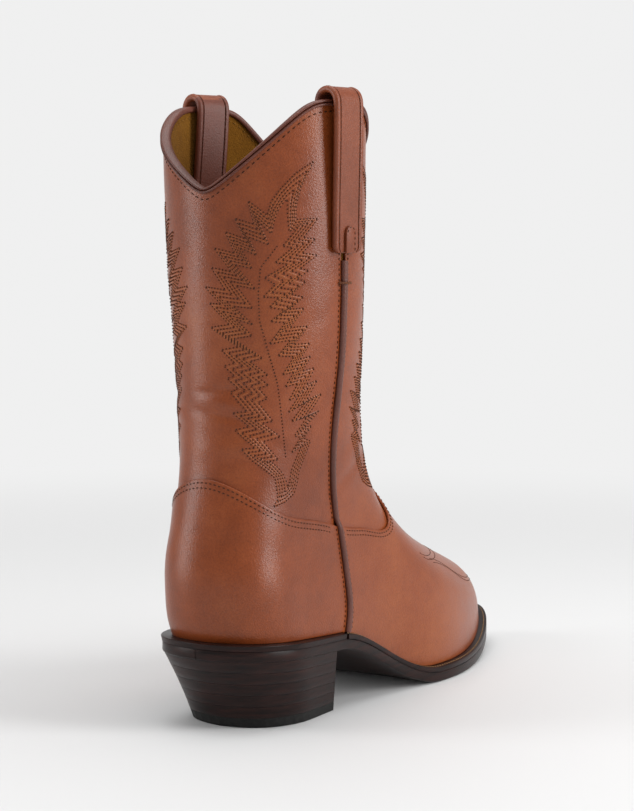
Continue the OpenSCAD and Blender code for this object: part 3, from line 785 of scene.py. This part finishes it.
def carried(middle, across, up, section):
    """A section carried along a path: its two numbers go across and up."""
    return (middle[:, None] + section[..., :1] * across[:, None] + section[..., 1:] * up[:, None])


def circle(radius, sides):
    a = np.linspace(0, 2 * np.pi, sides, endpoint=False)
    return radius * np.stack([np.cos(a), np.sin(a)], -1)


for seam, side in SEAMS:
    v = np.linspace(float(v_for(np.array(seam), np.array(PEAK - STRAP_LEG - 4.0))), 0.004, 150)
    middle = lifted(seam, v, PIPE_LIFT + OVER * (1 - smooth((v - 0.36) / 0.04)))
    section = circle(PIPE_R, 16) * [1.45, 1.05]
    pipe = loft("piping_cord_" + side, carried(middle, along(seam, v), outward(seam, v), section))
    settle(pipe, trim, "trim_leather", "piping_" + side)

# ---- Collar binding ----
# A strip of brown calf folded over the collar's edge and turned back on itself, which leaves two rolls
# on the outside with a groove between them.
ROLLS = np.array([
    (0.1, -1.8), (0.75, -1.9), (1.25, -1.65), (1.5, -1.15), (1.35, -0.7), (0.85, -0.42), (0.2, -0.28),
    (0.2, -0.16), (0.85, -0.02), (1.3, 0.2), (1.45, 0.6), (1.25, 0.98), (0.75, 1.25), (0, 1.4),
    (-1.5, 1.45), (-2.9, 1.3), (-3.7, 0.9), (-4.1, 0.2), (-4.15, -0.9), (-3.9, -1.65), (-3.2, -1.8),
    (-3.05, 0.2), (0.1, 0.2)])
u = np.arange(240) / 240
out, edge = outward(u, 1.0), along(u, 1.0)
binding = loft("binding_strip", carried(skin(u, 1.0), out, unit(np.cross(out, edge)), ROLLS), closed=True)
apply(binding, "SUBSURF", levels=1, render_levels=1)
settle(binding, trim, "trim_leather", "collar_binding", degrees=60)

# ---- Pull straps ----
# Two layers of brown calf with a rolled edge down each side, looped over the collar and sewn down to the
# shaft outside and inside. Past the crest, the inside leg is a darker copy of the strap calf: painted
# shade.
# Stitching runs down each edge of the band.
STRAP_W, STRAP_T, ARCH_R = 21, 3.4, 6.2
TAB_HALF, TAB_RISE = 3.5, 10
ARCH_MID = -(LEATHER_T + LINING_T + 2 * GAP) / 2
STRAP_FOOT = STRAP_T / 2 + GAP
STATIONS, CREST = 130, 68


def strap_leg(seam, d, side):
    v = v_for(np.full(len(d), float(seam)), PEAK - d)
    sewn = smooth(d / STRAP_LEG)
    near = blend(ARCH_MID + ARCH_R, STRAP_FOOT, sewn)
    far = blend(ARCH_MID - ARCH_R, -LEATHER_T - LINING_T - 2 * GAP - STRAP_FOOT, sewn)
    return lifted(seam, v, near if side > 0 else far)


def strap_path(seam):
    n = outward(seam, 1.0)
    base = skin(seam, 1.0) + ARCH_MID * n
    turn = np.linspace(0, np.pi, 24)[:, None]
    arch = base + ARCH_R * (n * np.cos(turn) + np.array([0, 0, 1]) * np.sin(turn))
    points = np.concatenate([strap_leg(seam, np.linspace(STRAP_LEG, 4, 22), 1), arch,
                             strap_leg(seam, np.linspace(4, STRAP_LEG, 22), -1)])
    s = np.concatenate([[0], np.cumsum(np.linalg.norm(np.diff(points, axis=0), axis=1))])
    even = np.linspace(0, s[-1], STATIONS)
    path = np.stack([np.interp(even, s, points[:, k]) for k in range(3)], -1)
    for _ in range(4):
        path[1:-1] = (path[:-2] + 2 * path[1:-1] + path[2:]) / 4
    return path, even


def half_section(side):
    """From the middle of the band's face out over the bead and back along the underside."""
    w, t = STRAP_W / 2, STRAP_T / 2
    bead = [(w - t + t * math.cos(a), t * math.sin(a))
            for a in np.radians([125, 90, 60, 30, 0, -30, -60, -90])]
    return [(side * x, y) for x, y in [(w - 6, t * 0.8), (w - 3.6, t * 0.8), (w - 3.05, t * 0.3)] + bead
            + [(w - 4, -t * 0.9)]]


for seam, side in SEAMS:
    path, reach = strap_path(seam)
    edge = unit(along(seam, 1.0))
    face = unit(np.cross(edge, np.gradient(path, axis=0)))
    section = np.array(half_section(1) + half_section(-1)[::-1])
    end = np.minimum(reach, reach[-1] - reach)
    rounded = np.sqrt(np.clip(1 - ((3.2 - end) / 3.2).clip(0, 1) ** 2, 0.02, 1))
    narrow = 1 - (1 - rounded) * 3.2 / (STRAP_W / 2)
    shaped = section[None] * np.stack([narrow, 0.55 + 0.45 * rounded], -1)[:, None]
    strap = loft("strap_band_" + side, carried(path, edge * np.ones_like(path), face, shaped))
    strap.data.materials.append(strap_leather)
    strap.data.materials.append(shaded_inner_strap)
    # Faces past the crest station take the darker copy: painted shade on the strap's inside leg.
    for quad in strap.data.polygons:
        quad.material_index = int(min(quad.vertices) > CREST * len(section))
    settle(strap, strap_leather, "trim_leather", "strap_" + side, degrees=35)

    low, high = strap_leg(seam, np.array([STRAP_LEG, STRAP_LEG - 13.5]), 1)
    lift = unit(high - low)
    out = unit(np.cross(edge, lift))
    out = out if out @ outward(seam, 0.7) > 0 else -out
    a = np.radians(np.arange(0, 181, 12))
    crown = np.stack([TAB_HALF * np.cos(a), TAB_RISE + TAB_HALF * np.sin(a)], -1)
    outline = np.concatenate([[(-TAB_HALF, 0), (TAB_HALF, 0)], crown])
    flat_tab = low + outline[:, :1] * edge + outline[:, 1:] * lift
    rings = np.stack([flat_tab + (STRAP_T / 2 - 0.3 + h) * out for h in (0, 1.5)])
    tab = loft("keeper_" + side, rings)
    soften(tab, 0.35)
    settle(tab, strap_leather, "trim_leather", "tab_" + side)

    curves = [(path[3:-3] + x * edge + 0.3 * STRAP_T * face[3:-3], face[3:-3])
              for x in (STRAP_W / 2 - 3.05, 3.05 - STRAP_W / 2)]
    inset = outline * [0.8, 0.93] + [0, 0.6]
    keeper = (low + inset[:, :1] * edge + inset[:, 1:] * lift + (STRAP_T / 2 + 1.2) * out)[1:]
    curves.append((keeper, np.tile(out, (len(keeper), 1))))
    sew_curves("strap_stitching_" + side, curves, 2.6, 1.7, 0.6, thread)

    v = float(v_for(np.array(seam), np.array(PEAK - STRAP_LEG - 15.0)))
    base, out = skin(seam, v), outward(seam, v)
    a = np.linspace(0, np.pi, 60)
    arc = base + 4 * np.cos(a)[:, None] * edge + (0.5 + 2.3 * np.sin(a))[:, None] * out
    tangent = unit(np.gradient(arc, axis=0))
    twist = circle(0.55, 8)[None] * (1 + 0.18 * np.sin(a * 34))[:, None, None]
    normal = unit(np.cross(tangent, np.array([0, 0, 1.0])))
    tack = loft("tack_" + side, carried(arc, normal, np.cross(tangent, normal), twist))
    settle(tack, tack_thread, "thread", "bar_tack_" + side)

# ---- Welt and outsole ----
# The welt is a strip of black sole leather stitched to the upper all round the forefoot, and the rand
# carries its line round the heel seat. The outsole is glued and stitched under both. Edges are burnished.
SEAT_OUT, WAIST_OUT, WELT_OUT, BAND_IN = 7.5, 5, 6.5, 9
SEAT_STEP = 0.7
WELT_HIGH = -0.1
WELT_LOW = WELT_HIGH - WELT_T + 0.1


def edge_out(x):
    return blend(blend(SEAT_OUT, WAIST_OUT, smooth((x + 20) / 50)), WELT_OUT, smooth((x - 50) / 70))


def under_out(x):
    return edge_out(x) - SEAT_STEP * (1 - smooth((x - 24) / 60))


def band_rings(u, out, section):
    """Section points: share from the inner edge to the outer edge, and height from the welt's top."""
    inner, outer = plan_out(u, np.full(len(u), -float(BAND_IN))), plan_out(u, out)
    flat_line = inner[:, None] + section[None, :, :1] * (outer - inner)[:, None]
    base = welt_height(outer[:, 0])[:, None, None] + section[None, :, 1:]
    return np.concatenate([flat_line, np.broadcast_to(base, flat_line.shape[:2] + (1,))], -1)


def strip(name, u_from, u_to, count, section, node):
    u = np.linspace(u_from, u_to, count)
    out = edge_out(plan_at(u)[:, 0])
    settle(loft(name, band_rings(u, out, np.array(section))), sole_edge, "sole_leather", node, degrees=40)
    return u, out


u, out = strip("welt_strip", 0.245, 0.755, 260,
               [(0, WELT_LOW), (0, WELT_HIGH), (0.86, WELT_HIGH), (0.9, WELT_HIGH - 0.18),
                (0.95, WELT_HIGH), (0.99, WELT_HIGH - 0.2), (1, WELT_HIGH - 0.6), (1, WELT_LOW + 0.2),
                (0.99, WELT_LOW)], "welt")
strip("rand_strip", -0.242, 0.242, 160,
      [(0, WELT_LOW), (0, WELT_HIGH), (0.95, WELT_HIGH), (0.99, WELT_HIGH - 0.1), (1, WELT_HIGH - 0.35),
       (0.97, WELT_LOW)], "heel_rand")
spot = plan_out(u, 0.72 * out)
line = np.column_stack([spot, welt_height(spot[:, 0]) + WELT_HIGH])
sew_curves("welt_stitching", [(line, np.tile([0.0, 0, 1], (len(line), 1)))], 2.3, 1.3, 0.7, welt_thread)


def slab_rings(u, out, section):
    """Stations along the foot, each an outline across it: inset from the edge, height from the welt."""
    rings = []
    for near in (u, 1 - u):
        edges = plan_out(near[:, None] * np.ones(len(section)), out[:, None] - section[None, :, 0])
        heights = welt_height(edges[..., 0])[..., None] + section[None, :, 1:]
        rings.append(np.concatenate([edges, heights], -1))
    return np.concatenate([rings[0], rings[1][:, ::-1]], 1)


u = 0.0006 + 0.4988 * (1 - np.cos(np.linspace(0, np.pi, 220))) / 2
under = np.array([(0.7, -BALL_H), (0.2, 0.35 - BALL_H), (0, 0.9 - BALL_H), (0, WELT_LOW - 0.5),
                  (0.12, WELT_LOW - 0.2), (0.6, WELT_LOW - 0.1)])
sole = loft("outsole_leather", slab_rings(u, under_out(plan_at(u)[:, 0]), under))
settle(sole, sole_edge, "sole_leather", "outsole", degrees=40)

# ---- Heel ----
# Five lifts of sole leather under the seat, each smaller than the one above, with a rubber top lift on
# the ground. The stack is trimmed to one curve, stained black and waxed, so its layers hardly show.
HEEL_U = 0.228
HEEL_BACK = plan_out(np.array(0.0), np.array(SEAT_OUT - 2 * SEAT_STEP))[0]
TOP_LIFT = 0.14
HEEL_GROUND, HEEL_TAPER, LIFTS = 60, 0.84, 5


def heel_ring(f, inset=0.0):
    c = f * (0.8 + 0.2 * f)
    u = np.linspace(-HEEL_U, HEEL_U, 90)
    arc = plan_out(u, edge_out(plan_at(u)[:, 0]) - 2 * SEAT_STEP - inset)
    k = (np.arange(1, 24) / 24)[:, None]
    breast = blend(arc[-1:], arc[:1], k) - np.array([[2.5, 0]]) * np.sin(np.pi * k)
    p = np.concatenate([arc, breast])
    share = (p[:, 0] - HEEL_BACK) / (BREAST_X - HEEL_BACK)
    x = blend((share - 0.5) * HEEL_GROUND, p[:, 0], c)
    return np.column_stack([x, p[:, 1] * blend(HEEL_TAPER, 1, c), f * (welt_height(p[:, 0]) - BALL_H)])


def heel_layer(name, low, high, round_off, material, slot, node):
    edge = round_off / (SEAT_H - BALL_H)
    rings = [heel_ring(low, round_off), heel_ring(low + edge), heel_ring((low + high) / 2),
             heel_ring(high - edge), heel_ring(high - 0.003, round_off)]
    settle(loft(name, np.stack(rings)), material, slot, node, degrees=60)


step = (1 - TOP_LIFT) / LIFTS
for k in range(LIFTS):
    heel_layer(f"heel_lift_{k + 1}", 1 - (k + 1) * step, 1 - k * step, 0.07, sole_edge, "sole_leather",
               f"lift_{k + 1}")
finish_node(rubber, "top_lift")
